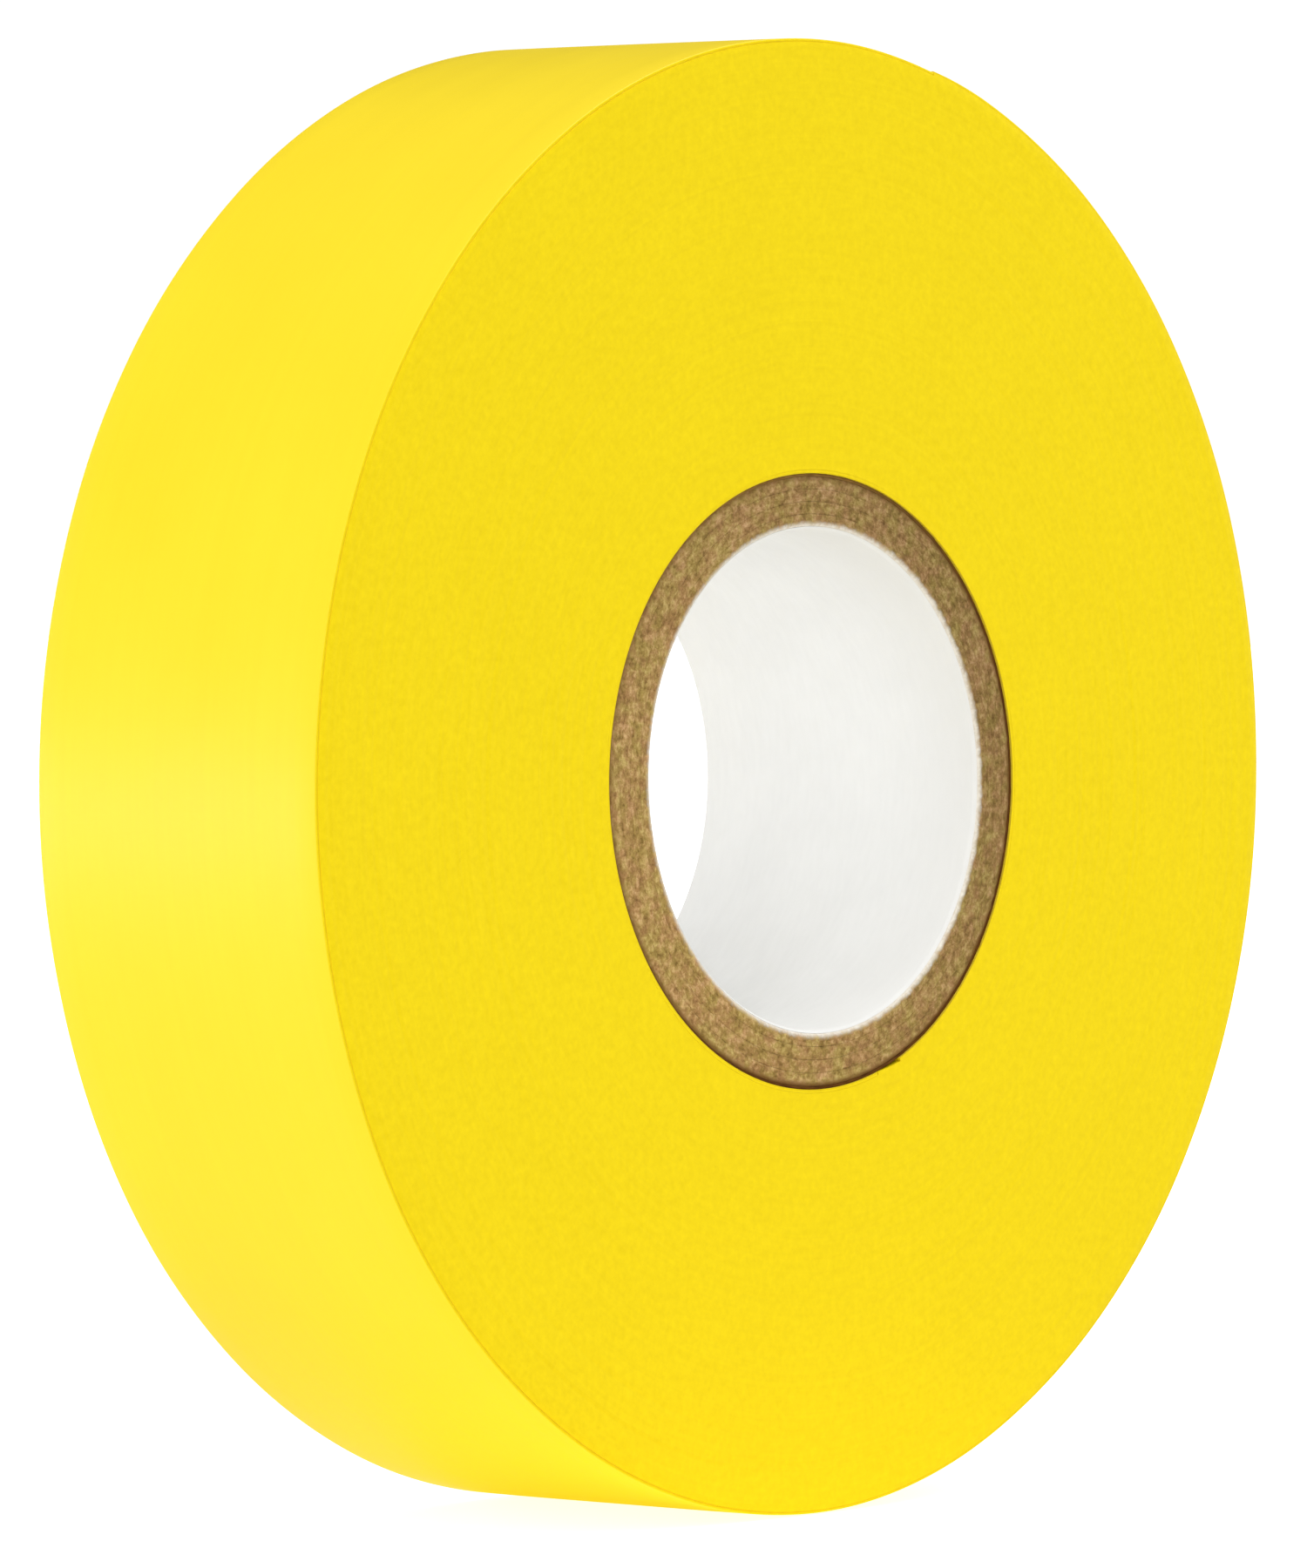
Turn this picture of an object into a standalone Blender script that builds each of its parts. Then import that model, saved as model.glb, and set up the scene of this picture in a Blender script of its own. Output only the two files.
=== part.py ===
"""Roll of electrical tape: a paper core, the strip wound on it, and a free tail that peels.

The roll stands on its rim. Its axis is world Y, its front face looks along -Y and +Z is up.
The origin is the centre of the bore, halfway through the roll's width.

Everything is modelled in the frame of the empty roll_axis, in which the roll's axis is Z,
+Z points out of the front face, X points right and Y points up. Angles are counted in
degrees from X towards Y, which is the way the strip winds from its start to its tip.
"""

import math

import bmesh
import bpy

MM = 0.001

# Driving dimensions, in millimetres unless a name says otherwise.
TAPE_WIDTH = 19.0
FILM_THICKNESS = 0.14
ADHESIVE_THICKNESS = 0.04
LAYER_GAP = 0.005
TURN_COUNT = 116

BORE_RADIUS = 13.4
CORE_WALL = 2.9
CORE_WIDTH = 18.6
LINER_THICKNESS = 0.15
WRAP_THICKNESS = 0.15
KRAFT_PLY_COUNT = 4
GLUE_LINE = 0.01

# Where the strip starts, where its free tail leaves the roll, and where it ends, in degrees.
START_ANGLE = -65.0
TAIL_ROOT_ANGLE = 15.0
TAIL_TIP_ANGLE = 75.0
TAIL_SEGMENT_COUNT = 6
END_SLIT = 0.05

# Facets round the roll. One of them is centred at the bottom, so the roll rests on a flat.
FACET_COUNT = 108
RAMP_FACETS = 2

FACET_ANGLE = 360.0 / FACET_COUNT
LAYER_PITCH = FILM_THICKNESS + ADHESIVE_THICKNESS + 2 * LAYER_GAP
CORE_RADIUS = BORE_RADIUS + CORE_WALL
OUTER_RADIUS = CORE_RADIUS + TURN_COUNT * LAYER_PITCH
RAMP_FOOT_ANGLE = START_ANGLE - RAMP_FACETS * FACET_ANGLE
TAIL_SEGMENT_ANGLE = (TAIL_TIP_ANGLE - TAIL_ROOT_ANGLE) / TAIL_SEGMENT_COUNT

SHARP_EDGE = math.radians(30)


def clear_scene():
    for obj in list(bpy.data.objects):
        bpy.data.objects.remove(obj, do_unlink=True)


def make_material(name, color, roughness):
    material = bpy.data.materials.new(name)
    material.use_nodes = True
    shader = material.node_tree.nodes["Principled BSDF"]
    shader.inputs["Base Color"].default_value = (*color, 1.0)
    shader.inputs["Roughness"].default_value = roughness
    shader.inputs["Metallic"].default_value = 0.0
    return material


def make_empty(name, parent, location=(0.0, 0.0, 0.0)):
    empty = bpy.data.objects.new(name, None)
    empty.empty_display_size = 5 * MM
    empty.parent = parent
    empty.location = location
    bpy.context.scene.collection.objects.link(empty)
    return empty


def link_solid(name, bm, material, parent):
    """Finish a bmesh as an object: outward faces, smooth round sides and sharp edges."""
    bmesh.ops.recalc_face_normals(bm, faces=bm.faces)
    mesh = bpy.data.meshes.new(name)
    bm.to_mesh(mesh)
    bm.free()
    mesh.shade_smooth()
    mesh.set_sharp_from_angle(angle=SHARP_EDGE)
    mesh.materials.append(material)
    obj = bpy.data.objects.new(name, mesh)
    obj.parent = parent
    bpy.context.scene.collection.objects.link(obj)
    return obj


def on_circle(radius, angle):
    """The point at a radius in millimetres and an angle in degrees, in metres."""
    turn = math.radians(angle)
    return (radius * MM * math.cos(turn), radius * MM * math.sin(turn), 0.0)


# The paper core


def turned_ring(name, inner, outer, width, material, parent):
    """Spin a rectangular profile once round the axis."""
    bm = bmesh.new()
    half = width * MM / 2
    corners = []
    for radius, z in ((inner, half), (outer, half), (outer, -half), (inner, -half)):
        x, y, _ = on_circle(radius, START_ANGLE)
        corners.append(bm.verts.new((x, y, z)))
    edges = [bm.edges.new((corners[i - 1], corners[i])) for i in range(4)]
    bmesh.ops.spin(
        bm,
        geom=corners + edges,
        axis=(0, 0, 1),
        cent=(0, 0, 0),
        angle=math.tau,
        steps=FACET_COUNT,
        use_merge=True,
    )
    return link_solid(name, bm, material, parent)


def make_core(parent, materials):
    """The plies of the core, from the white lining of the bore to the thin outer wrap."""
    glue_lines = KRAFT_PLY_COUNT + 1
    kraft_wall = CORE_WALL - LINER_THICKNESS - WRAP_THICKNESS - glue_lines * GLUE_LINE
    plies = [("core_liner", LINER_THICKNESS, materials["liner"])]
    for number in range(1, KRAFT_PLY_COUNT + 1):
        ply = (f"core_kraft_ply_{number}", kraft_wall / KRAFT_PLY_COUNT, materials["kraft"])
        plies.append(ply)
    plies.append(("core_outer_wrap", WRAP_THICKNESS, materials["wrap"]))
    inner = BORE_RADIUS
    for name, thickness, material in plies:
        turned_ring(name, inner, inner + thickness, CORE_WIDTH, material, parent)
        inner += thickness + GLUE_LINE


# The wound strip


def facet_angles(start, end):
    """The facet corners from start to end, with the two ends themselves."""
    first = math.ceil((start - START_ANGLE) / FACET_ANGLE + 1e-6)
    last = math.floor((end - START_ANGLE) / FACET_ANGLE - 1e-6)
    between = [START_ANGLE + n * FACET_ANGLE for n in range(first, last + 1)]
    return [start, *between, end]


def wound_solid(name, angles, inner, outer, material, parent, pivot=(0.0, 0.0, 0.0)):
    """Build one solid of the winding: a flat section with one cell per facet, then extruded.

    inner and outer give the radius at an angle, for the cell whose middle angle is given too,
    so the section can step from one layer to the next between two cells. A section that goes
    all the way round closes by itself. pivot is where the object's origin lies.
    """
    cells = []
    radii_on_ray = {}
    for pair in zip(angles, angles[1:]):
        middle = sum(pair) / 2
        cell = []
        for angle in pair:
            ray = round(angle % 360, 6)
            low, high = round(inner(angle, middle), 6), round(outer(angle, middle), 6)
            radii_on_ray.setdefault(ray, set()).update((low, high))
            cell.append((ray, low, high))
        cells.append(cell)
    bm = bmesh.new()
    corners = {}
    for ray, radii in radii_on_ray.items():
        for radius in radii:
            x, y, _ = on_circle(radius, ray)
            place = (x - pivot[0], y - pivot[1], -TAPE_WIDTH * MM / 2)
            corners[ray, radius] = bm.verts.new(place)
    section = []
    for cell in cells:
        outline = []
        for (ray, low, high), inward in zip(cell, (False, True)):
            on_edge = [radius for radius in radii_on_ray[ray] if low <= radius <= high]
            outline += [corners[ray, radius] for radius in sorted(on_edge, reverse=inward)]
        section.append(bm.faces.new(outline))
    extruded = bmesh.ops.extrude_face_region(bm, geom=section)["geom"]
    moved = [item for item in extruded if isinstance(item, bmesh.types.BMVert)]
    bmesh.ops.translate(bm, verts=moved, vec=(0.0, 0.0, TAPE_WIDTH * MM))
    return link_solid(name, bm, material, parent)


def last_turn_radius(angle):
    """The outer face of the last turn, which climbs evenly by one layer to the tip."""
    return OUTER_RADIUS - LAYER_PITCH * (TAIL_TIP_ANGLE - angle) / 360


def film_and_adhesive(name, start, end, face, materials, parent, pivot=(0.0, 0.0, 0.0)):
    """The two layers of one stretch of strip. face gives the radius of its outer face."""
    angles = facet_angles(start, end)
    adhesive_top = FILM_THICKNESS + LAYER_GAP
    layers = (
        ("film", 0.0, FILM_THICKNESS),
        ("adhesive", adhesive_top, adhesive_top + ADHESIVE_THICKNESS),
    )
    for layer, top, bottom in layers:
        wound_solid(
            f"{name}_{layer}",
            angles,
            lambda angle, middle: face(angle) - bottom,
            lambda angle, middle: face(angle) - top,
            materials[layer],
            parent,
            pivot,
        )


def slit_angle(radius):
    """The angle that half of an end slit takes up at a radius."""
    return math.degrees(END_SLIT / 2 / radius)


def make_start_turn(parent, materials):
    """The first turn, stuck to the core, up to where the strip climbs over its own start."""
    end = RAMP_FOOT_ANGLE + 360 - 2 * slit_angle(CORE_RADIUS)
    face_radius = CORE_RADIUS + LAYER_PITCH
    film_and_adhesive("start_turn", START_ANGLE, end, lambda angle: face_radius, materials, parent)


def make_wound_turns(parent, materials):
    """All the turns between the first and the last, as one body.

    On its inner side the strip lies on the first turn, except where it leaves the core at the
    ramp's foot and climbs over the start. On its outer side it steps up under the tip.
    """
    on_first_turn = CORE_RADIUS + LAYER_PITCH + LAYER_GAP
    on_core = CORE_RADIUS + LAYER_GAP

    def inner(angle, middle):
        if not RAMP_FOOT_ANGLE < middle < START_ANGLE:
            return on_first_turn
        climbed = (angle - RAMP_FOOT_ANGLE) / (START_ANGLE - RAMP_FOOT_ANGLE)
        return on_core + climbed * (on_first_turn - on_core)

    def outer(angle, middle):
        return last_turn_radius(angle) - LAYER_PITCH

    angles = facet_angles(TAIL_TIP_ANGLE - 360, TAIL_TIP_ANGLE)
    wound_solid("wound_turns", angles, inner, outer, materials["wound"], parent)


def make_outer_turn(parent, materials):
    """The last turn, from where it leaves the step under the tip to the root of the tail."""
    start = TAIL_TIP_ANGLE - 360 + 2 * slit_angle(OUTER_RADIUS)
    end = TAIL_ROOT_ANGLE - slit_angle(OUTER_RADIUS)
    film_and_adhesive("outer_turn", start, end, last_turn_radius, materials, parent)


def make_tail(parent, materials):
    """The free tail: short stretches of strip, each hinged to the one before at its film."""
    slit = slit_angle(OUTER_RADIUS)
    last_hinge, last_place = parent, (0.0, 0.0, 0.0)
    for number in range(1, TAIL_SEGMENT_COUNT + 1):
        start = TAIL_ROOT_ANGLE + (number - 1) * TAIL_SEGMENT_ANGLE
        end = start + TAIL_SEGMENT_ANGLE
        place = on_circle(last_turn_radius(start), start)
        step = tuple(here - before for here, before in zip(place, last_place))
        hinge = make_empty(f"tail_hinge_{number}", last_hinge, step)
        name = f"tail_{number}"
        film_and_adhesive(name, start + slit, end - slit, last_turn_radius, materials, hinge, place)
        last_hinge, last_place = hinge, place


def main():
    clear_scene()
    materials = {
        "liner": make_material("white_liner_paper", (0.84, 0.84, 0.80), 0.85),
        "kraft": make_material("kraft_board", (0.36, 0.23, 0.085), 0.9),
        "wrap": make_material("dark_kraft_wrap", (0.22, 0.12, 0.035), 0.9),
        "wound": make_material("wound_vinyl", (0.92, 0.68, 0.015), 0.5),
        "film": make_material("vinyl_film", (0.98, 0.74, 0.025), 0.4),
        "adhesive": make_material("rubber_adhesive", (0.78, 0.60, 0.06), 0.25),
    }
    roll_axis = make_empty("roll_axis", None)
    roll_axis.rotation_euler = (math.radians(90), 0.0, 0.0)
    make_core(roll_axis, materials)
    make_start_turn(roll_axis, materials)
    make_wound_turns(roll_axis, materials)
    make_outer_turn(roll_axis, materials)
    make_tail(roll_axis, materials)


main()
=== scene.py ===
"""The looks of the roll of electrical tape, built round its CAD model.

The roll's axis is Y and its front face looks along -Y. Angles are counted in degrees about that
axis, from +X towards +Z, which is the way the strip winds. "Wound" angles go on growing from
turn to turn: 0 is the strip's start on the core, and the strip's tip is 115 turns and more on.
Lengths are in millimetres until a mesh is made, because everything here is small.
"""

import math

import bpy
import numpy as np
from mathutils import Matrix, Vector, noise


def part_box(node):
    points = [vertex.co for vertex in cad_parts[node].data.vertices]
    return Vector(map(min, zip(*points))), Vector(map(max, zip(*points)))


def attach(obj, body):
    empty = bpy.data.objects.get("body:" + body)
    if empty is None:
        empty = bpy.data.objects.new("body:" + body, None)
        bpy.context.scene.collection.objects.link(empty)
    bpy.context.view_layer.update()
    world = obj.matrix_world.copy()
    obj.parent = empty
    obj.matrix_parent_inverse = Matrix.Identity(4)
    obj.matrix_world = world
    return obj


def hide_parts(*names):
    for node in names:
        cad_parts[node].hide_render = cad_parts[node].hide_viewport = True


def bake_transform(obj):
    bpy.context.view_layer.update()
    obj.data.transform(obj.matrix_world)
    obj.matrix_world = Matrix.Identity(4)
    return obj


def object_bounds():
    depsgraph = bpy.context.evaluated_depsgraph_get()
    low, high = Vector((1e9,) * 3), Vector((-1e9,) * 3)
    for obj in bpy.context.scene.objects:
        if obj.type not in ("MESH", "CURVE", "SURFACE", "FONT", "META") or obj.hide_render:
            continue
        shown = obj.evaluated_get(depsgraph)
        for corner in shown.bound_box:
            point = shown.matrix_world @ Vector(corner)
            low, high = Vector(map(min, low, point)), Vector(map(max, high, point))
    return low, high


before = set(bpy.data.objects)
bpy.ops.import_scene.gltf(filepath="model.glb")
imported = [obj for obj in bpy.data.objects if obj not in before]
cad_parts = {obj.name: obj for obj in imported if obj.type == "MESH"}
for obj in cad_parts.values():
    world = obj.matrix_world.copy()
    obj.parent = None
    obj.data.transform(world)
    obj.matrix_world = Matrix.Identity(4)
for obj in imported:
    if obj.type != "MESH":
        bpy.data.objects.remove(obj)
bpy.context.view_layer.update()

MM = 0.001

# The strip's layout, as the CAD model has it.
TURN_COUNT = 116
LAYER_PITCH = 0.19
FILM_THICKNESS = 0.14
ADHESIVE_THICKNESS = 0.04
START_ANGLE = -65.0
ROOT_ANGLE = 15.0
TIP_ANGLE = 75.0
HINGE_STEP = 10.0
TAIL_SEGMENTS = 6
ROOT_BEND = 1.5
CLIMB = 20.0 / 3
KRAFT_PLY_COUNT = 4

# The gaps between layers and at the ends of stretches of strip, the latter in degrees.
LAYER_GAP = 0.005
ADHESIVE_DEPTH = FILM_THICKNESS + LAYER_GAP
START_SLIT = 0.2
TIP_SLIT = 0.05

# How the meshes are divided: steps of wound angle in degrees, and parts round a turn of the
# strip, over its width, over the wall under the last turn, and round the core.
STEP = 5.0 / 3
TURN_STEPS = 216
ACROSS = 12
WALL_PARTS = 4
RING_PARTS = 288

# The strip's two layers: name, material slot, how deep each starts below the strip's outer face,
# its thickness, and the share of it by which the outer turn's corners are rounded. A crisp corner
# is rounded by a smaller share.
LAYERS = (
    ("film", "vinyl_film", 0.0, FILM_THICKNESS, 0.5),
    ("adhesive", "adhesive", ADHESIVE_DEPTH, ADHESIVE_THICKNESS, 0.1),
)
CRISP = 0.06

# Small irregularities of a real roll.
SWELL = 0.20
FLARE = 0.04
LOBES = 6
LOBE_HEIGHT = 0.03
LOBE_ANGLE = -85.0
DRIFT = 0.012
GROOVE_DEPTH = 0.006
RUBBED_BAND = 0.9
RUBBED_DEPTH = 0.16
TIP_TAPER = 7.0
TIP_THICKNESS = 0.45

# The core is a little out of round: a mean, a shift towards an angle, an oval and its angle.
CORE_ROUNDNESS = (-0.04, 0.27, -80.0, 0.26, -14.0)
BORE_ROUNDNESS = (-0.25, 0.37, -28.0, 0.22, -30.0)

# The core's cut ends swell, and its bore's corner is worn. The board has painted light and shade,
# darkest towards one side, and at its outside dark glue with painted shade of the gap between core
# and tape, darkest towards another side.
CORE_DOME = 0.15
BORE_CORNER = 0.38
BOARD_SHADE_SIDE = (0.87, 0.0, 0.5)
GAP_SHADE_SIDE = (0.71, 0.0, -0.71)

# The camera, from the object's centre: degrees, metres, and the lens's and sensor's millimetres.
CAMERA_AZIMUTH = -49.64
CAMERA_ELEVATION = 1.30
CAMERA_DISTANCE = 0.492
CAMERA_LENS = 214.4
CAMERA_SENSOR = 36.0
CAMERA_SHIFT = (-0.0147, -0.0064)

# The studio, in metres. The tent's levels go from the side away from its dark one to that one.
# The floor's glow is yellow within the first reach and grey beyond the second. Along Y, both
# reaches are a share of what they are along X.
DARK_SIDE = (0.62, 0.76, 0.2)
TENT_LEVELS = ((0.38, 1.0), (0.6, 0.55), (0.85, 0.35), (0.97, 0.08))
BACKDROP_SEEN = 1.05
FLOOR_HALF_SIZE = 4.0
FLOOR_GLOW_NEAR = (0.50, 0.40, 0.035, 1.0)
FLOOR_GLOW_FAR = (0.12, 0.12, 0.12, 1.0)
FLOOR_GLOW_REACHES = (0.042, 0.055)
FLOOR_GLOW_SHARE = 0.62
FLOOR_GLOW_SEEN = 0.8


def radial_range(node):
    """The least and the greatest distance of a CAD node's corners from the axis."""
    corners = np.array([v.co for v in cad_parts[node].data.vertices])
    radii = np.hypot(corners[:, 0], corners[:, 2]) / MM
    return float(radii.min()), float(radii.max())


HALF_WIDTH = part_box("wound_turns")[1].y / MM
CORE_HALF_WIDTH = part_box("core_liner")[1].y / MM
BORE_RADIUS = radial_range("core_liner")[0]
CORE_RADIUS = radial_range("start_turn_adhesive")[0] - LAYER_GAP
CORE_WALL = CORE_RADIUS - BORE_RADIUS
OUTER_RADIUS = CORE_RADIUS + TURN_COUNT * LAYER_PITCH

# Wound angles: angle 0 in the last turn, the tip, the last turn's start, and the place where
# the second turn starts to climb over the first.
LAST_WOUND_AT_0 = (TURN_COUNT - 1) * 360 - START_ANGLE
TIP_WOUND = LAST_WOUND_AT_0 + TIP_ANGLE
LAST_TURN_WOUND = TIP_WOUND - 360
CLIMB_WOUND = 360 - CLIMB
TIP_SHARE = (TIP_ANGLE - START_ANGLE) / 360


# Shapes shared by the pieces


def smooth_random(seed, knots, places):
    """Smooth random values about 0, one bend per knot, read at places from 0 to knots."""
    values = np.random.default_rng(seed).normal(size=knots + 2)
    low = np.clip(np.floor(places).astype(int), 0, knots)
    share = places - low
    share = share * share * (3 - 2 * share)
    return values[low] * (1 - share) + values[low + 1] * share


def drift(wound):
    """How far the strip lies towards the front of its mean place, at wound angles."""
    wound = np.asarray(wound, float)
    slow = smooth_random(3, 700, np.clip(wound / 60, 0, 700))
    quick = smooth_random(5, 1800, np.clip(wound / 23, 0, 1800))
    return DRIFT * (0.6 * slow + 0.4 * quick)


def out_of_round(roundness, angle):
    """How far an outline stands out from a circle at an angle."""
    mean, shift, shift_angle, oval, oval_angle = roundness
    turn = np.radians(angle)
    shifted = shift * np.cos(turn - math.radians(shift_angle))
    return mean + shifted + oval * np.cos(2 * (turn - math.radians(oval_angle)))


def settle(radius, angle, y):
    """How far the wound strip stands out from a true circle. It follows the core's outline at
    the core. At the rim it is swollen, a little more behind than in front, and has six faint
    lobes and soft waves."""
    turn = np.radians(angle)
    share = np.clip((radius - CORE_RADIUS) / (OUTER_RADIUS - CORE_RADIUS), 0, 1)
    lobes = LOBE_HEIGHT * np.cos(LOBES * (turn - math.radians(LOBE_ANGLE)))
    waves = 0.008 * np.sin(11 * turn + 0.35 * y + 1) + 0.005 * np.sin(23 * turn - 0.5 * y)
    across = y / HALF_WIDTH
    rim = SWELL + FLARE * across + lobes + waves - 0.012 * across**4
    return share * rim + (1 - share) ** 2 * out_of_round(CORE_ROUNDNESS, angle)


def rubbed(radius):
    """How far the edges of the outermost turns are pushed in by handling."""
    band = np.clip((radius - OUTER_RADIUS + RUBBED_BAND) / RUBBED_BAND, 0, 1)
    return RUBBED_DEPTH * band**2


def layer_radius(wound):
    """The inner face of the strip. Near the core each turn climbs all at once where the strip
    starts; further out the climb spreads over the whole turn."""
    wound = np.asarray(wound, float)
    share = (wound % 360) / 360
    climbed = np.clip((share - 1 + CLIMB / 360) / (CLIMB / 360), 0, 1)
    spread = np.clip((wound / 360 - 2) / 40, 0, 1)
    lag = (1 - spread) * (share - climbed) + spread * TIP_SHARE
    return CORE_RADIUS + LAYER_PITCH * (wound / 360 - lag)


def last_turn_radius(angle):
    """The outer face of the last turn, at an angle up to the tip's."""
    return OUTER_RADIUS - LAYER_PITCH * (TIP_ANGLE - np.asarray(angle, float)) / 360


def points(radius, angle, y):
    """Points in the frame, in metres, from radii and depths in millimetres."""
    radius, angle, y = np.broadcast_arrays(radius, np.radians(angle), y)
    return MM * np.stack([radius * np.cos(angle), y, radius * np.sin(angle)], axis=-1)


def grid_faces(rows, columns, close_rows, close_columns):
    """Quads over a grid of points numbered row by row, which can close round either way."""
    i = np.arange(rows if close_rows else rows - 1)[:, None]
    j = np.arange(columns if close_columns else columns - 1)[None, :]
    right, below = (j + 1) % columns, (i + 1) % rows
    corners = (i * columns + j, i * columns + right, below * columns + right, below * columns + j)
    return np.stack([np.broadcast_to(c, (len(i), j.shape[1])) for c in corners], -1).reshape(-1, 4)


def volume(places, faces):
    """The volume that faces close in, which is negative if they are inside out."""
    total = 0.0
    for face in faces:
        corners = places[face]
        fan = np.cross(corners[1:-1] - corners[0], corners[2:] - corners[0])
        total += float(np.einsum("ij,j->", fan, corners[0]))
    return total


def make_piece(name, places, faces, materials, face_materials=None, sharp=40.0, **attributes):
    """A closed mesh as an object. attributes are named values kept at its points."""
    faces = [list(face) for face in faces]
    if volume(places, faces) < 0:
        faces = [face[::-1] for face in faces]
    mesh = bpy.data.meshes.new(name)
    mesh.from_pydata(places.tolist(), [], faces)
    for material in materials:
        mesh.materials.append(material)
    if face_materials is not None:
        mesh.polygons.foreach_set("material_index", np.asarray(face_materials, np.int32))
    mesh.shade_smooth()
    mesh.set_sharp_from_angle(angle=math.radians(sharp))
    for key, values in attributes.items():
        kind, field = ("FLOAT", "value") if values.ndim == 1 else ("FLOAT_VECTOR", "vector")
        store = mesh.attributes.new(key, kind, "POINT")
        store.data.foreach_set(field, values.astype(np.float32).ravel())
    mesh.validate()
    piece = bpy.data.objects.new(name, mesh)
    bpy.context.scene.collection.objects.link(piece)
    return piece


# The core


def rough(places, size, amount):
    """Random heights, at points in metres, of fibres whose size is in millimetres."""
    return np.array([noise.noise(Vector(place) / (size * MM)) for place in places]) * amount


def core_outline(radius, angle):
    """The core's departure from round, from the bore's to its outer face's."""
    share = (radius - BORE_RADIUS) / CORE_WALL
    bore = out_of_round(BORE_ROUNDNESS, angle)
    return (1 - share) * bore + share * out_of_round(CORE_ROUNDNESS, angle)


def core_half_width(radius, y):
    """The core's ends swell where they were cut, and fall away at the outer ply and, most in
    front, at the bore."""
    share = (radius - BORE_RADIUS) / CORE_WALL
    corner = np.clip(1 - (radius - BORE_RADIUS) / BORE_CORNER, 0, 1)
    worn = np.where(y < 0, BORE_CORNER, 0.2 * BORE_CORNER)
    return CORE_HALF_WIDTH + CORE_DOME * (1 - 0.4 * share**4) - worn * corner**2


def ring_profile(inner, outer, bevel):
    """A ply's section, from the back along the bore side, as the radius, y, which end a point
    is on (1 in front, -1 behind), and whether it is on the inner wall."""
    wall = np.linspace(CORE_HALF_WIDTH - bevel, -CORE_HALF_WIDTH + bevel, 15)
    ends = np.linspace(inner + bevel, outer - bevel, 7)
    profile = [(inner, y, 0.0, 1.0) for y in wall]
    profile += [(radius, -CORE_HALF_WIDTH, 1.0, 0.0) for radius in ends]
    profile += [(outer, y, 0.0, 0.0) for y in (wall[-1], wall[0])]
    profile += [(radius, CORE_HALF_WIDTH, -1.0, 0.0) for radius in ends[::-1]]
    return np.array(profile).T


def make_ring(name, node, material, fray, wall_waves=0.0, bevel=0.05):
    """A ply of the core in place of a CAD ply. Its cut ends are frayed by an amount in
    millimetres, and its inner wall can have soft waves."""
    radius, y, end, on_wall = ring_profile(*radial_range(node), bevel)
    y = y * core_half_width(radius, y) / CORE_HALF_WIDTH
    angle = np.arange(RING_PARTS)[:, None] * 360 / RING_PARTS
    even = points(radius, angle, y).reshape(-1, 3)
    fibres = rough(even, 0.35, fray).reshape(RING_PARTS, -1)
    waves = rough(even * np.array([1, 0.5, 1]), 3.0, wall_waves).reshape(RING_PARTS, -1)
    loose = on_wall * waves + 0.4 * np.abs(end) * fibres
    places = points(
        radius + loose + core_outline(radius, angle),
        angle,
        y - end * (fibres - 0.5 * fray),
    )
    faces = grid_faces(RING_PARTS, len(radius), True, True)
    from_bore = np.broadcast_to(radius - BORE_RADIUS, places.shape[:2]).ravel()
    ply = make_piece(name, places.reshape(-1, 3), faces, [material], from_bore=from_bore)
    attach(ply, "roll")
    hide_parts(node)


def make_core(materials):
    """The lining, the board plies and the thin outer ply, each in the CAD ply's place."""
    liner, wrap = materials["liner"], materials["wrap"]
    make_ring("bore_lining", "core_liner", liner, 0.05, 0.03, 0.03)
    for number in range(1, KRAFT_PLY_COUNT + 1):
        board = materials[f"kraft_{number}"]
        node = f"core_kraft_ply_{number}"
        make_ring(f"kraft_board_{number}", node, board, 0.07)
    make_ring("outer_wrap", "core_outer_wrap", wrap, 0.05, 0.0, 0.03)


# The strip


def section(thickness, turned):
    """The strip's cross-section as a closed loop of (depth below the outer face, y), and for
    each side of the loop whether it belongs to a cut edge of the strip. The outer corner is
    turned over by a length and the inner one is crisp."""
    half = HALF_WIDTH
    crisp = CRISP * thickness
    outer_y = np.linspace(-half + turned, half - turned, ACROSS + 1)
    inner_y = np.linspace(half - crisp, -half + crisp, ACROSS + 1)
    cut = [
        (0.13 * turned, half - 0.5 * turned),
        (0.5 * turned, half - 0.13 * turned),
        (turned, half),
        (thickness - crisp, half),
    ]
    loop = [(0.0, y) for y in outer_y] + cut
    loop += [(thickness, y) for y in inner_y]
    loop += [(depth, -y) for depth, y in cut[::-1]]
    on_cut = [False] * (ACROSS + 2) + [True] * 3 + [False] * ACROSS + [True] * 3 + [False] * 2
    return np.array(loop), np.array(on_cut)


def drawn_thin(wound):
    """The share of its thickness that the strip keeps: the cut drew its tip out thin."""
    near = np.clip((wound - TIP_WOUND + TIP_TAPER) / TIP_TAPER, 0, 1)
    return 1 - (1 - TIP_THICKNESS) * near**2


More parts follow.
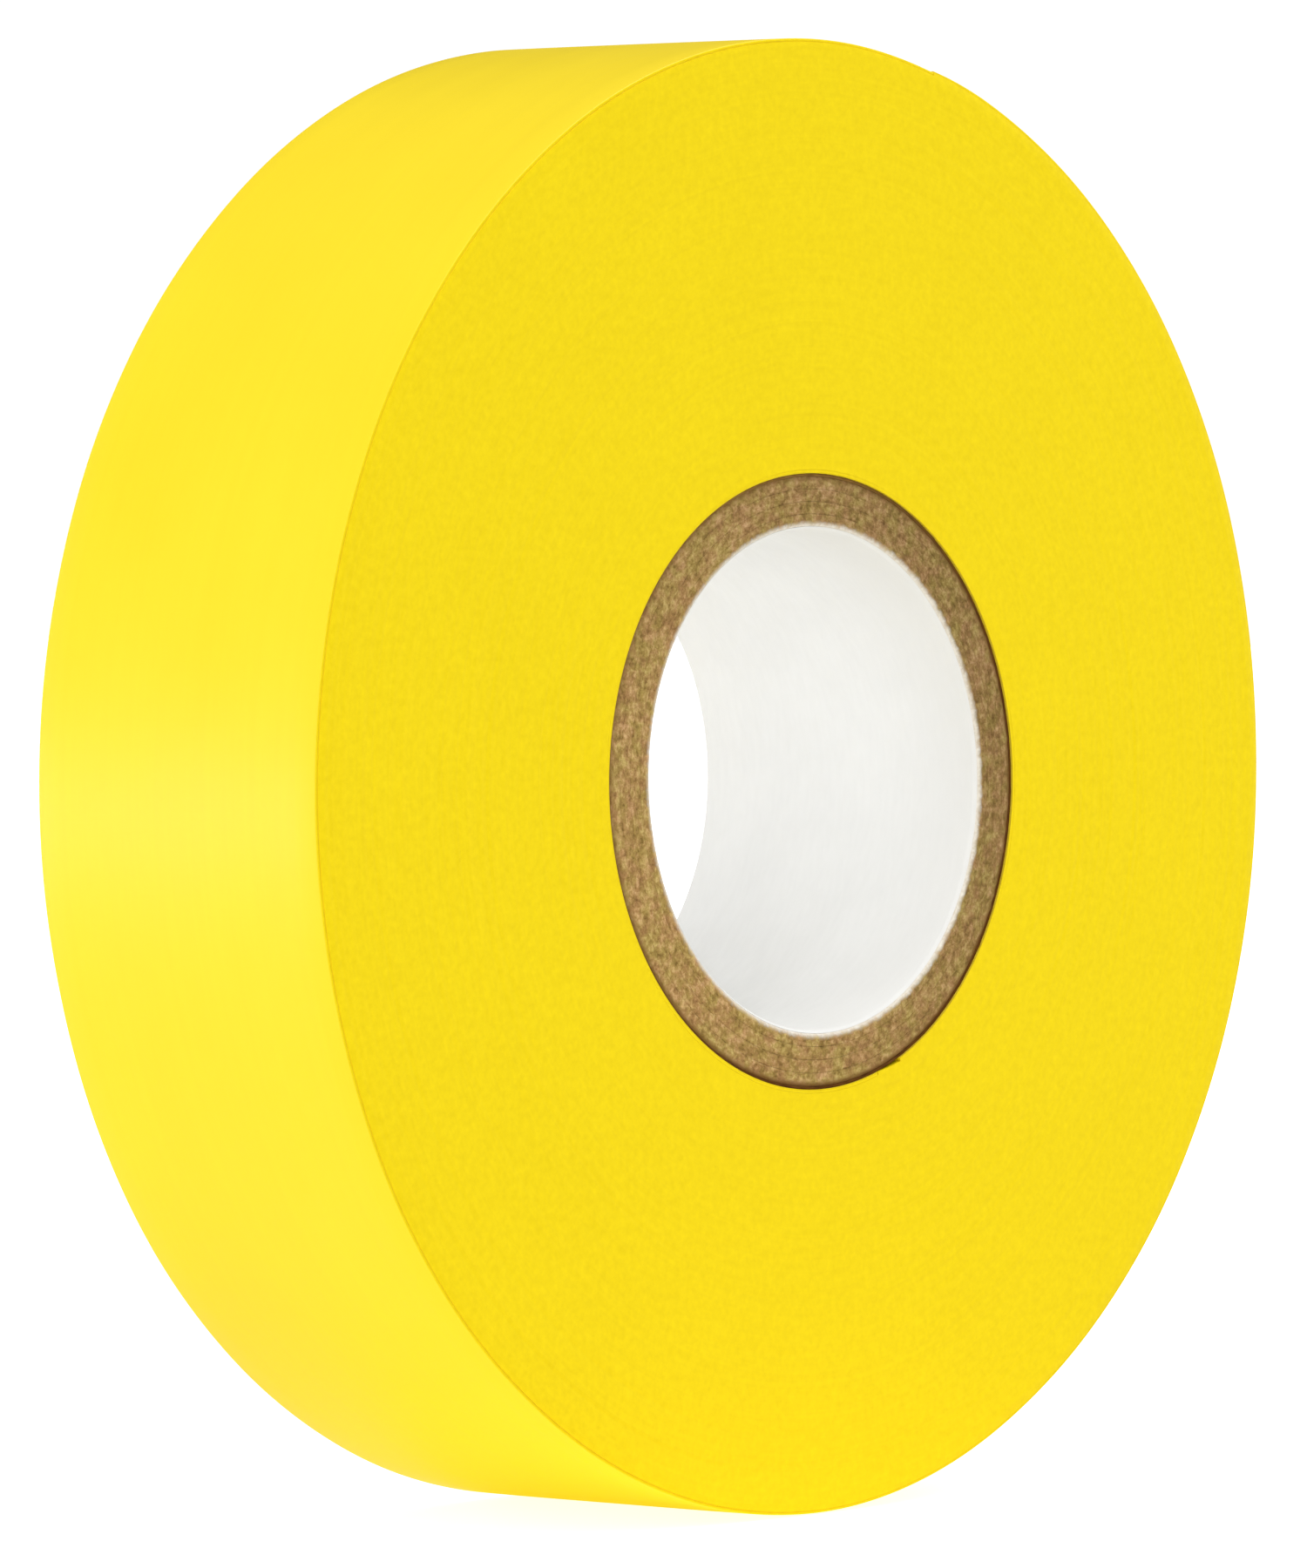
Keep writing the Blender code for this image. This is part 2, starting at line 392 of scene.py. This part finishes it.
def make_strip(
    name, angles, top_radius, depth, thickness, turned, wound_at_0, materials, sharp=40.0
):
    """A stretch of film or adhesive. top_radius gives the strip's outer face at an angle, depth
    is where the layer starts below it, turned is how far its outer corner is rounded, and
    wound_at_0 is the wound angle where the angle is 0. materials are the face's and the cut's."""
    loop, on_cut = section(thickness, turned)
    angles = np.asarray(angles, float)[:, None]
    top = top_radius(angles)
    pushed_in = 1 - rubbed(top) / HALF_WIDTH
    y = loop[None, :, 1] * pushed_in - drift(angles + wound_at_0)
    height = (LAYER_PITCH - depth - loop[None, :, 0]) * drawn_thin(angles + wound_at_0)
    radius = top - LAYER_PITCH + height + settle(top + 0 * y, angles, y)
    places = points(radius, angles, y).reshape(-1, 3)
    columns, rows = len(loop), len(angles)
    faces = grid_faces(rows, columns, False, True).tolist()
    faces.append(list(range(columns))[::-1])
    faces.append(list(range((rows - 1) * columns, rows * columns)))
    sides = np.concatenate([np.tile(on_cut, rows - 1), [True, True]]).astype(int)
    along = np.radians(angles + wound_at_0) * OUTER_RADIUS * MM + 0 * y
    grain = np.stack([along, y * MM, -(depth + loop[None, :, 0] + 0 * y) * MM], -1)
    return make_piece(name, places, faces, materials, sides, sharp, strip=grain.reshape(-1, 3))


def fine_angles(start, end, step=1.0):
    """Angles from start to end, with extra ones near both ends so that neighbours match."""
    count = max(2, round((end - start) / step))
    inner = np.linspace(start, end, count + 1)
    return np.concatenate([[start, start + 0.15], inner[1:-1], [end - 0.15, end]])


def make_start_turn(materials):
    """The first turn, stuck to the core. Its corners are crisp, and it is shaded as faceted."""
    angles = fine_angles(START_ANGLE, START_ANGLE + CLIMB_WOUND - START_SLIT, 2.0)
    for layer, slot, depth, thickness, _ in LAYERS:
        piece = make_strip(
            f"first_turn_{layer}",
            angles,
            lambda angle: CORE_RADIUS + LAYER_PITCH + 0 * angle,
            depth,
            thickness,
            CRISP * thickness,
            -START_ANGLE,
            [materials[layer], materials["edge"]],
            10.0,
        )
        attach(piece, "roll")
        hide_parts(f"start_turn_{layer}")


def wound_points(radius, wound, y, turns):
    """Points of the wound body, with the number of the turn and the place along the strip that
    its materials read."""
    angle = wound + START_ANGLE
    along = np.radians(wound) * OUTER_RADIUS * MM
    strip = np.stack([along, y * MM + 0 * along, 0 * along], -1)
    return points(radius + settle(radius, angle, y), angle, y), turns + 0 * radius, strip


def side_rows(grooves, crowns):
    """The points of the two spiral sides, front side first, and on each the grooves between
    the turns before the crowns. grooves and crowns are pairs of radii and wound angles. A groove
    lies a little deeper than the lower of the two crowns beside it."""
    offset = drift(crowns[1])
    beyond = np.full(TURN_STEPS, np.inf)
    rows = []
    for side in (-1, 1):
        lift = -side * offset
        lower = np.minimum(np.concatenate([lift, beyond]), np.concatenate([beyond, lift]))
        groove_y = side * (HALF_WIDTH + lower - GROOVE_DEPTH - rubbed(grooves[0]))
        crown_y = side * (HALF_WIDTH + lift - rubbed(crowns[0]))
        rows.append(wound_points(*grooves, groove_y, grooves[1] / 360))
        rows.append(wound_points(*crowns, crown_y, crowns[1] / 360 + 0.5))
    return rows


def side_faces(steps, per_side):
    """The quads of both spiral sides, from each groove up to its crown and down to the next."""
    groove = np.arange(steps)
    crown = steps + TURN_STEPS + 1 + groove
    inward = np.stack([groove, groove + 1, crown + 1, crown], -1)
    next_groove = groove + TURN_STEPS
    outward = np.stack([crown, crown + 1, next_groove + 1, next_groove], -1)
    front = np.concatenate([inward, outward])
    return [front, (front + per_side)[:, ::-1]]


def wall_across(loop, radii, wound, parts, first_number, per_side):
    """The wall from a closed loop of the front side's points to the same loop behind, as rows
    of new points and as quads. radii and wound belong to the points of a side, and the new
    points are numbered from first_number."""
    rows, columns = [], [loop]
    for part in range(1, parts):
        y = (HALF_WIDTH - RUBBED_DEPTH) * (2 * part / parts - 1) + 0 * radii[loop]
        rows.append(wound_points(radii[loop], wound[loop], y, wound[loop] / 360))
        columns.append(first_number + (part - 1) * len(loop) + np.arange(len(loop)))
    columns.append(loop + per_side)
    quads = [
        np.stack([low, high, np.roll(high, -1), np.roll(low, -1)], -1)
        for low, high in zip(columns, columns[1:])
    ]
    return rows, np.concatenate(quads)


def make_wound_turns(materials):
    """All the turns between the first and the last as one closed body. Each side is a spiral
    of crowns, one for each turn's edge, with grooves between them."""
    steps = round((LAST_TURN_WOUND - CLIMB_WOUND) / STEP)
    wound = CLIMB_WOUND + STEP * np.arange(steps + TURN_STEPS + 1)
    grooves = (layer_radius(wound) + LAYER_GAP, wound)
    crown_radius = (grooves[0][: steps + 1] + grooves[0][TURN_STEPS:]) / 2
    crowns = (crown_radius, wound[: steps + 1])
    side = [np.concatenate(pair) for pair in zip(grooves, crowns)]
    per_side = len(side[0])

    # The loops where the walls meet the front side: a whole turn of groove, and one crown.
    turn = np.arange(TURN_STEPS + 1)
    inner_loop = np.append(turn, len(wound))
    outer_loop = np.append(steps + turn, len(wound) + steps)
    _, inner_wall = wall_across(inner_loop, *side, 1, 2 * per_side, per_side)
    wall_rows, outer_wall = wall_across(outer_loop, *side, WALL_PARTS, 2 * per_side, per_side)
    edge_faces = np.concatenate([*side_faces(steps, per_side), inner_wall])
    faces = np.concatenate([edge_faces, outer_wall[:, ::-1]])
    kinds = [0] * len(edge_faces) + [1] * len(outer_wall)
    rows = side_rows(grooves, crowns) + wall_rows
    places, turns, strip = (np.concatenate(column) for column in zip(*rows))
    surfaces = [materials["edge"], materials["film"]]
    body = make_piece("wound_strip", places, faces, surfaces, kinds, 60.0, layer=turns, strip=strip)
    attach(body, "roll")
    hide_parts("wound_turns")


def make_stretch(layer, materials, name, start, end, step=0.5):
    """A stretch of one layer of the last turn or the tail, between two angles."""
    layer_name, slot, depth, thickness, turned = layer
    piece = make_strip(
        name,
        fine_angles(start, end, step),
        last_turn_radius,
        depth,
        thickness,
        turned * thickness,
        LAST_WOUND_AT_0,
        [materials[layer_name], materials["edge"]],
    )
    return piece


def make_last_turn(layer, materials):
    """One layer of the last turn, up to the tail."""
    name = layer[0]
    start, end = TIP_ANGLE - 360 + TIP_SLIT, ROOT_ANGLE - ROOT_BEND
    turn = make_stretch(layer, materials, f"last_turn_{name}", start, end, 1.0)
    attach(turn, "roll")
    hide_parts(f"outer_turn_{name}")


def make_tail(layer, materials):
    """One layer of the tail, in pieces. Each piece spans one hinge, from the middle of a segment to
    the middle of the next, and the last piece is the second half of the last segment."""
    name = layer[0]
    middles = [ROOT_ANGLE + HINGE_STEP * (k + 0.5) for k in range(TAIL_SEGMENTS)]
    cuts = [ROOT_ANGLE - ROOT_BEND, *middles, TIP_ANGLE - TIP_SLIT]
    bends = [(ROOT_ANGLE - ROOT_BEND, ROOT_ANGLE + ROOT_BEND), *zip(middles, middles[1:])]
    for number, (first, last) in enumerate(bends, 1):
        ends = cuts[number - 1 : number + 1]
        piece = make_stretch(layer, materials, f"tail_{name}_{number}", *ends)
        start = points(last_turn_radius(first), first, 0.0).tolist()
        end = points(last_turn_radius(last), last, 0.0).tolist()
        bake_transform(piece)
        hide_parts(f"tail_{number}_{name}")
    tip = make_stretch(layer, materials, f"tail_{name}_{TAIL_SEGMENTS + 1}", *cuts[-2:])
    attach(tip, f"tail_{TAIL_SEGMENTS}")
    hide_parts(f"tail_{TAIL_SEGMENTS}_{name}")


# Materials


def add_node(tree, kind, inputs=(), **settings):
    """A node with its settings and its inputs, which are values or other nodes' outputs."""
    made = tree.nodes.new(kind)
    for key, value in settings.items():
        setattr(made, key, value)
    for key, value in dict(inputs).items():
        if isinstance(value, bpy.types.NodeSocket):
            tree.links.new(value, made.inputs[key])
        else:
            made.inputs[key].default_value = value
    return made


def linear(red, green, blue):
    """A colour given as 0 to 255 screen values, as the linear colour that shaders take."""
    def channel(value):
        value /= 255
        return value / 12.92 if value <= 0.04045 else ((value + 0.055) / 1.055) ** 2.4
    return (channel(red), channel(green), channel(blue), 1.0)


LINT = linear(238, 232, 220)
# Dark glue, with the painted shade of the gap between core and tape.
GLUE_AND_GAP_SHADE = linear(100, 64, 20)


def calculate(tree, operation, a, b=0.0, c=0.0):
    """A Math node's result from values or other nodes' outputs."""
    made = add_node(tree, "ShaderNodeMath", {0: a, 1: b, 2: c}, operation=operation)
    return made.outputs[0]


def blended(tree, a, b, share):
    """A share of a and the rest of b."""
    return calculate(tree, "MULTIPLY_ADD", a, share, calculate(tree, "MULTIPLY", b, 1 - share))


def noise_at(tree, vector, scale, detail=2.0, roughness=0.5):
    """Noise from 0 to 1 at a vector, with scale as its bumps per unit."""
    inputs = {"Vector": vector, "Scale": scale, "Detail": detail, "Roughness": roughness}
    return add_node(tree, "ShaderNodeTexNoise", inputs).outputs[0]


def ramp(tree, value, *stops):
    """Colours between stops, each a place from 0 to 1 and a linear colour."""
    made = add_node(tree, "ShaderNodeValToRGB", {0: value})
    elements = made.color_ramp.elements
    while len(elements) < len(stops):
        elements.new(0.5)
    for element, (place, colour) in zip(elements, stops):
        element.position = place
        element.color = colour
    return made.outputs[0]


def mix_colours(tree, share, a, b, blend_type="MIX"):
    """Colour a turned into b by a share, or the two put together by another blend type."""
    made = add_node(
        tree, "ShaderNodeMix", {0: share, 6: a, 7: b}, data_type="RGBA", blend_type=blend_type
    )
    return made.outputs[2]


def limits(tree, value, low, high, to_low=0.0, to_high=1.0, kind="SMOOTHSTEP"):
    """value, which runs from low to high, turned to run smoothly from to_low to to_high."""
    inputs = {"Value": value, 1: low, 2: high, 3: to_low, 4: to_high}
    return add_node(tree, "ShaderNodeMapRange", inputs, interpolation_type=kind).outputs[0]


def start_material(name, **constants):
    """A material with its shader's constants set, its node tree and its shader."""
    material = bpy.data.materials.new(name)
    material.use_nodes = True
    tree = material.node_tree
    shader = tree.nodes["Principled BSDF"]
    for key, value in constants.items():
        shader.inputs[key.replace("_", " ")].default_value = value
    return material, tree, shader


def bump(tree, shader, height, distance):
    """Give the surface a relief: height runs from 0 to 1 and distance is its millimetres."""
    inputs = {"Height": height, "Distance": distance * MM, "Strength": 1.0}
    made = add_node(tree, "ShaderNodeBump", inputs)
    tree.links.new(made.outputs[0], shader.inputs["Normal"])


def stretched(tree, vector, x, y, z):
    """A vector with its parts in lengths of x, y and z millimetres."""
    scale = (1 / (x * MM), 1 / (y * MM), 1 / (z * MM))
    inputs = {0: vector, 1: scale}
    return add_node(tree, "ShaderNodeVectorMath", inputs, operation="MULTIPLY").outputs[0]


def around_axis(tree, use_radius, across, around, reference):
    """A place for patterns drawn out round the roll's axis, with no seam, and the direction
    away from the axis. across is the pattern's size in millimetres over the radius or over y,
    around its size along the turn at a reference radius."""
    place = add_node(tree, "ShaderNodeTexCoord").outputs["Object"]
    flat = add_node(
        tree, "ShaderNodeVectorMath", {0: place, 1: (1.0, 0.0, 1.0)}, operation="MULTIPLY"
    ).outputs[0]
    unit = add_node(tree, "ShaderNodeVectorMath", {0: flat}, operation="NORMALIZE").outputs[0]
    parts = add_node(tree, "ShaderNodeSeparateXYZ", {0: unit})
    radius = add_node(tree, "ShaderNodeVectorMath", {0: flat}, operation="LENGTH").outputs["Value"]
    depth = add_node(tree, "ShaderNodeSeparateXYZ", {0: place}).outputs[1]
    inputs = {
        0: calculate(tree, "MULTIPLY", parts.outputs[0], reference / around),
        1: calculate(tree, "MULTIPLY", radius if use_radius else depth, 1 / (across * MM)),
        2: calculate(tree, "MULTIPLY", parts.outputs[2], reference / around),
    }
    return add_node(tree, "ShaderNodeCombineXYZ", inputs).outputs[0], unit


def towards(tree, unit, direction):
    """How much a direction away from the axis points another way, from -1 to 1."""
    inputs = {0: unit, 1: direction}
    made = add_node(tree, "ShaderNodeVectorMath", inputs, operation="DOT_PRODUCT")
    return made.outputs["Value"]


def film_material():
    """The smooth outer face of the vinyl film."""
    material, tree, shader = start_material("vinyl_film", IOR=1.5, Specular_IOR_Level=0.27)
    strip = add_node(tree, "ShaderNodeAttribute", attribute_name="strip").outputs["Vector"]
    clouds = noise_at(tree, stretched(tree, strip, 14, 9, 9), 1.0, 3.0)
    streaks = noise_at(tree, stretched(tree, strip, 30, 0.5, 1), 1.0, 3.0, 0.6)
    peel = noise_at(tree, stretched(tree, strip, 0.5, 0.35, 1), 1.0, 2.0)
    tone = blended(tree, streaks, clouds, 0.35)
    colour = ramp(tree, tone, (0.3, (0.93, 0.70, 0.010, 1)), (0.7, (0.97, 0.74, 0.014, 1)))
    tree.links.new(colour, shader.inputs["Base Color"])
    rough_at = limits(tree, tone, 0.3, 0.7, 0.36, 0.44, "LINEAR")
    tree.links.new(rough_at, shader.inputs["Roughness"])
    bump(tree, shader, blended(tree, streaks, peel, 0.5), 0.012)
    return material


def edge_material():
    """The slit edges of the strip, side by side: satin, finely speckled, faintly ringed."""
    material, tree, shader = start_material("wound_vinyl", IOR=1.5, Specular_IOR_Level=0.06)
    place = add_node(tree, "ShaderNodeTexCoord").outputs["Object"]
    turns = add_node(tree, "ShaderNodeAttribute", attribute_name="layer").outputs["Fac"]
    speckle = noise_at(tree, place, 2300.0, 4.0, 0.65)
    clouds = noise_at(tree, place, 140.0, 3.0)
    rings = add_node(tree, "ShaderNodeTexNoise", {"W": turns, "Scale": 0.9}, noise_dimensions="1D")
    tone = calculate(tree, "MULTIPLY", speckle, 0.75)
    tone = calculate(tree, "MULTIPLY_ADD", clouds, 0.12, tone)
    tone = calculate(tree, "MULTIPLY_ADD", rings.outputs[0], 0.13, tone)
    colour = ramp(tree, tone, (0.32, (0.795, 0.597, 0.0035, 1)), (0.68, (0.88, 0.678, 0.0068, 1)))
    cells = {"Vector": place, "Scale": 150.0}
    specks = add_node(tree, "ShaderNodeTexVoronoi", cells, feature="F1")
    kept = calculate(tree, "GREATER_THAN", specks.outputs["Color"], 0.72)
    dot = limits(tree, specks.outputs["Distance"], 0.008, 0.022, 1, 0)
    dust = calculate(tree, "MULTIPLY", dot, kept)
    colour = mix_colours(tree, dust, colour, (0.45, 0.33, 0.02, 1))
    tree.links.new(colour, shader.inputs["Base Color"])
    tree.links.new(limits(tree, tone, 0.3, 0.7, 0.55, 0.68, "LINEAR"), shader.inputs["Roughness"])
    bump(tree, shader, speckle, 0.010)
    return material


def adhesive_material():
    """The tacky rubber side of the strip: glossy, deeper yellow, with fine pulled strings."""
    material, tree, shader = start_material("rubber_adhesive", IOR=1.5, Specular_IOR_Level=0.5)
    strip = add_node(tree, "ShaderNodeAttribute", attribute_name="strip").outputs["Vector"]
    strings = noise_at(tree, stretched(tree, strip, 0.25, 1.6, 1), 1.0, 4.0, 0.6)
    clouds = noise_at(tree, stretched(tree, strip, 4, 5, 5), 1.0, 3.0)
    tone = blended(tree, strings, clouds, 0.5)
    colour = ramp(tree, tone, (0.3, (0.70, 0.50, 0.02, 1)), (0.7, (0.84, 0.64, 0.04, 1)))
    tree.links.new(colour, shader.inputs["Base Color"])
    tree.links.new(limits(tree, tone, 0.3, 0.7, 0.22, 0.42, "LINEAR"), shader.inputs["Roughness"])
    bump(tree, shader, strings, 0.03)
    return material


def mottled_brown(tree, place, tone, unit):
    """The board's brown, pink and olive in places, with painted light and shade: lighter on one
    side and darker towards the other.
    """
    brown = ramp(
        tree,
        tone,
        (0.35, linear(114, 88, 47)),
        (0.5, linear(157, 128, 78)),
        (0.65, linear(197, 169, 118)),
    )
    olive = mix_colours(tree, 1.0, brown, linear(242, 250, 220), "MULTIPLY")
    pink = mix_colours(tree, 1.0, brown, linear(252, 238, 246), "MULTIPLY")
    hue = noise_at(tree, place, 1100.0, 3.0, 0.7)
    brown = mix_colours(tree, limits(tree, hue, 0.3, 0.7), olive, pink)
    # Painted light and shade: the board is lighter on one side and darker towards the other.
    shade = limits(tree, towards(tree, unit, BOARD_SHADE_SIDE), -1.0, 1.0, 1.2, 0.84, "LINEAR")
    shades = add_node(tree, "ShaderNodeCombineXYZ", {0: shade, 1: shade, 2: shade}).outputs[0]
    return mix_colours(tree, 1.0, brown, shades, "MULTIPLY")


def with_lint(tree, brown, mottle, from_bore):
    """The brown with pale lint from the lining where it is close to the bore."""
    ragged = calculate(tree, "MULTIPLY_ADD", mottle, 0.45, from_bore)
    return mix_colours(tree, limits(tree, ragged, 0.32, 0.72, 1.0, 0.0), brown, LINT)


def with_glue_and_gap_shade(tree, brown, mottle, from_bore, unit):
    """The brown with dark glue and painted shade of the gap between core and tape where it is close
    to the core's outside, darkest on one side.
    """
    ragged = calculate(tree, "MULTIPLY_ADD", mottle, 0.4, from_bore)
    glue_and_shade_share = limits(tree, ragged, CORE_WALL - 0.25, CORE_WALL + 0.05)
    # Painted shade of the gap between core and tape on top of the dark glue, darkest towards one
    # side.
    most = limits(tree, towards(tree, unit, GAP_SHADE_SIDE), -1.0, 0.7, 0.45, 0.9)
    return mix_colours(tree, calculate(tree, "MULTIPLY", glue_and_shade_share, most), brown, GLUE_AND_GAP_SHADE)


def kraft_material(number):
    """The cut ends of a board ply: short fibres round the core, mottled, with painted light and
    shade. The innermost ply has lint at the bore, and the outermost has dark glue and painted shade
    of the gap between core and tape outside."""
    material, tree, shader = start_material(f"kraft_board_{number}", Specular_IOR_Level=0.15)
    grain, unit = around_axis(tree, True, 0.22, 0.45, CORE_RADIUS)
    fibres = noise_at(tree, grain, 1.0, 4.0, 0.6)
    place = add_node(tree, "ShaderNodeTexCoord").outputs["Object"]
    mottle = noise_at(tree, place, 2600.0, 4.0, 0.75)
    from_bore = add_node(tree, "ShaderNodeAttribute", attribute_name="from_bore").outputs["Fac"]
    brown = mottled_brown(tree, place, blended(tree, fibres, mottle, 0.3), unit)
    if number == 1:
        brown = with_lint(tree, brown, mottle, from_bore)
    if number == KRAFT_PLY_COUNT:
        brown = with_glue_and_gap_shade(tree, brown, mottle, from_bore, unit)
    tree.links.new(brown, shader.inputs["Base Color"])
    tree.links.new(limits(tree, fibres, 0.3, 0.7, 0.95, 0.8, "LINEAR"), shader.inputs["Roughness"])
    bump(tree, shader, blended(tree, fibres, mottle, 0.6), 0.08)
    return material


def wrap_material():
    """The thin outer ply, a darker brown of its own, with dark glue and painted shade of the gap
    between core and tape, darkest on one side.
    """
    material, tree, shader = start_material("kraft_wrap", Specular_IOR_Level=0.15)
    grain, unit = around_axis(tree, True, 0.10, 0.9, CORE_RADIUS)
    fibres = noise_at(tree, grain, 1.0, 4.0, 0.6)
    # Painted shade of the gap between core and tape with the dark glue, darkest towards one side.
    side = calculate(tree, "MULTIPLY_ADD", fibres, 0.6, towards(tree, unit, GAP_SHADE_SIDE))
    glue_and_shade_share = limits(tree, side, -0.7, 0.7)
    dry = ramp(tree, fibres, (0.3, linear(112, 80, 34)), (0.7, linear(150, 116, 56)))
    glued_and_shaded = ramp(tree, fibres, (0.3, linear(72, 40, 4)), (0.7, linear(106, 66, 14)))
    tree.links.new(mix_colours(tree, glue_and_shade_share, dry, glued_and_shaded), shader.inputs["Base Color"])
    tree.links.new(limits(tree, fibres, 0.3, 0.7, 0.9, 0.75, "LINEAR"), shader.inputs["Roughness"])
    bump(tree, shader, fibres, 0.05)
    return material


def liner_material():
    """The white paper that lines the bore, with faint fibres round it, and darker in front with
    painted shade."""
    material, tree, shader = start_material("liner_paper", Specular_IOR_Level=0.2)
    grain, _ = around_axis(tree, False, 0.3, 1.3, BORE_RADIUS)
    fibres = noise_at(tree, grain, 1.0, 4.0, 0.6)
    place = add_node(tree, "ShaderNodeTexCoord").outputs["Object"]
    clouds = noise_at(tree, place, 260.0, 3.0)
    tone = blended(tree, fibres, clouds, 0.5)
    colour = ramp(tree, tone, (0.3, linear(238, 238, 236)), (0.7, linear(244, 244, 242)))
    depth = add_node(tree, "ShaderNodeSeparateXYZ", {0: place}).outputs[1]
    front = -(CORE_HALF_WIDTH + CORE_DOME) * MM
    # Painted shade: the lining is darker in front.
    front_shade = limits(tree, depth, front, front + 7.0 * MM, 0.5, 0.0)
    colour = mix_colours(tree, front_shade, colour, linear(224, 223, 219))
    tree.links.new(colour, shader.inputs["Base Color"])
    tree.links.new(limits(tree, fibres, 0.3, 0.7, 0.85, 0.95, "LINEAR"), shader.inputs["Roughness"])
    bump(tree, shader, fibres, 0.01)
    return material


# The studio


def add_light(name, direction, distance, size, power):
    """A white rectangular light that looks at the roll from a direction."""
    lamp = bpy.data.lights.new(name, "AREA")
    lamp.shape = "RECTANGLE"
    lamp.size, lamp.size_y = size
    lamp.energy = power
    light = bpy.data.objects.new(name, lamp)
    away = Vector(direction).normalized()
    light.location = away * distance
    light.rotation_mode = "QUATERNION"
    light.rotation_quaternion = away.to_track_quat("Z", "Y")
    bpy.context.scene.collection.objects.link(light)


def make_world():
    """A light tent: bright in front, dimmer behind, and dark behind on the right. The camera
    sees it as plain white."""
    world = bpy.data.worlds.new("studio")
    world.use_nodes = True
    tree = world.node_tree
    sky = tree.nodes["Background"]
    direction = add_node(tree, "ShaderNodeTexCoord").outputs["Generated"]
    away = Vector(DARK_SIDE).normalized()
    facing = add_node(
        tree, "ShaderNodeVectorMath", {0: direction, 1: away}, operation="DOT_PRODUCT"
    ).outputs["Value"]
    levels = [(at, (level, level, level, 1)) for at, level in TENT_LEVELS]
    tent = ramp(tree, limits(tree, facing, -1, 1, 0, 1, "LINEAR"), *levels)
    seen = add_node(tree, "ShaderNodeLightPath").outputs["Is Camera Ray"]
    colour = mix_colours(tree, seen, tent, (BACKDROP_SEEN,) * 3 + (1,))
    tree.links.new(colour, sky.inputs["Color"])
    bpy.context.scene.world = world


def make_floor():
    """A pale floor, which glows for the camera so that it goes over into the white behind. The
    light that it gives the roll is yellow close by, like light that bounces between the two."""
    low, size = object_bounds()[0].z, FLOOR_HALF_SIZE
    mesh = bpy.data.meshes.new("floor")
    corners = [(-size, -size, low), (size, -size, low), (size, size, low), (-size, size, low)]
    mesh.from_pydata(corners, [], [(0, 1, 2, 3)])
    floor = bpy.data.objects.new("floor", mesh)
    bpy.context.scene.collection.objects.link(floor)
    pale, tree, shader = start_material("pale_floor", Roughness=1.0, Specular_IOR_Level=0.0)
    shader.inputs["Base Color"].default_value = (0.86, 0.86, 0.86, 1.0)
    shader.inputs["Emission Strength"].default_value = 1.0
    seen = add_node(tree, "ShaderNodeLightPath").outputs["Is Camera Ray"]
    place = add_node(tree, "ShaderNodeTexCoord").outputs["Object"]
    footprint = stretched(tree, place, 1000.0, 1000.0 * FLOOR_GLOW_SHARE, 1000.0)
    away = add_node(tree, "ShaderNodeVectorMath", {0: footprint}, operation="LENGTH")
    far = limits(tree, away.outputs["Value"], *FLOOR_GLOW_REACHES)
    glow = mix_colours(tree, far, FLOOR_GLOW_NEAR, FLOOR_GLOW_FAR)
    glow = mix_colours(tree, seen, glow, (FLOOR_GLOW_SEEN,) * 3 + (1,))
    tree.links.new(glow, shader.inputs["Emission Color"])
    mesh.materials.append(pale)


def make_studio():
    """The tent, the floor and six softboxes round the roll."""
    bpy.context.scene.view_settings.view_transform = "Standard"
    make_world()
    make_floor()
    add_light("back_left_softbox", (-0.75, 0.65, -0.10), 0.3, (0.175, 0.05), 0.24)
    add_light("left_softbox", (-0.9, -0.4, -0.02), 0.6, (0.5, 0.4), 0.42)
    add_light("top_softbox", (0.15, -0.25, 1.0), 0.9, (0.8, 0.8), 3.2)
    add_light("top_right_softbox", (0.6, 0.0, 0.8), 0.8, (0.5, 0.5), 0.9)
    add_light("back_softbox", (0.0, 1.0, 0.05), 0.8, (0.4, 0.4), 2.6)
    add_light("right_softbox", (1.0, 0.05, 0.2), 0.7, (0.5, 0.4), 0.8)


def make_camera():
    """The camera of the photograph."""
    scene = bpy.context.scene
    camera = bpy.data.cameras.new("camera")
    camera.lens = CAMERA_LENS
    camera.sensor_width = CAMERA_SENSOR
    camera.shift_x, camera.shift_y = CAMERA_SHIFT
    camera.clip_start = 0.01
    camera.clip_end = 50.0
    azimuth, elevation = math.radians(CAMERA_AZIMUTH), math.radians(CAMERA_ELEVATION)
    level = math.cos(elevation)
    away = (math.sin(azimuth) * level, -math.cos(azimuth) * level, math.sin(elevation))
    back = Vector(away)
    holder = bpy.data.objects.new("camera", camera)
    holder.location = back * CAMERA_DISTANCE
    holder.rotation_mode = "QUATERNION"
    holder.rotation_quaternion = (-back).to_track_quat("-Z", "Y")
    scene.collection.objects.link(holder)
    scene.camera = holder


def build():
    """Every piece of the roll, and what it is shown in."""
    materials = {
        "liner": liner_material(),
        **{f"kraft_{number}": kraft_material(number) for number in range(1, KRAFT_PLY_COUNT + 1)},
        "wrap": wrap_material(),
        "edge": edge_material(),
        "film": film_material(),
        "adhesive": adhesive_material(),
    }
    make_core(materials)
    make_start_turn(materials)
    make_wound_turns(materials)
    for layer in LAYERS:
        make_last_turn(layer, materials)
        make_tail(layer, materials)
    make_studio()
    make_camera()


build()
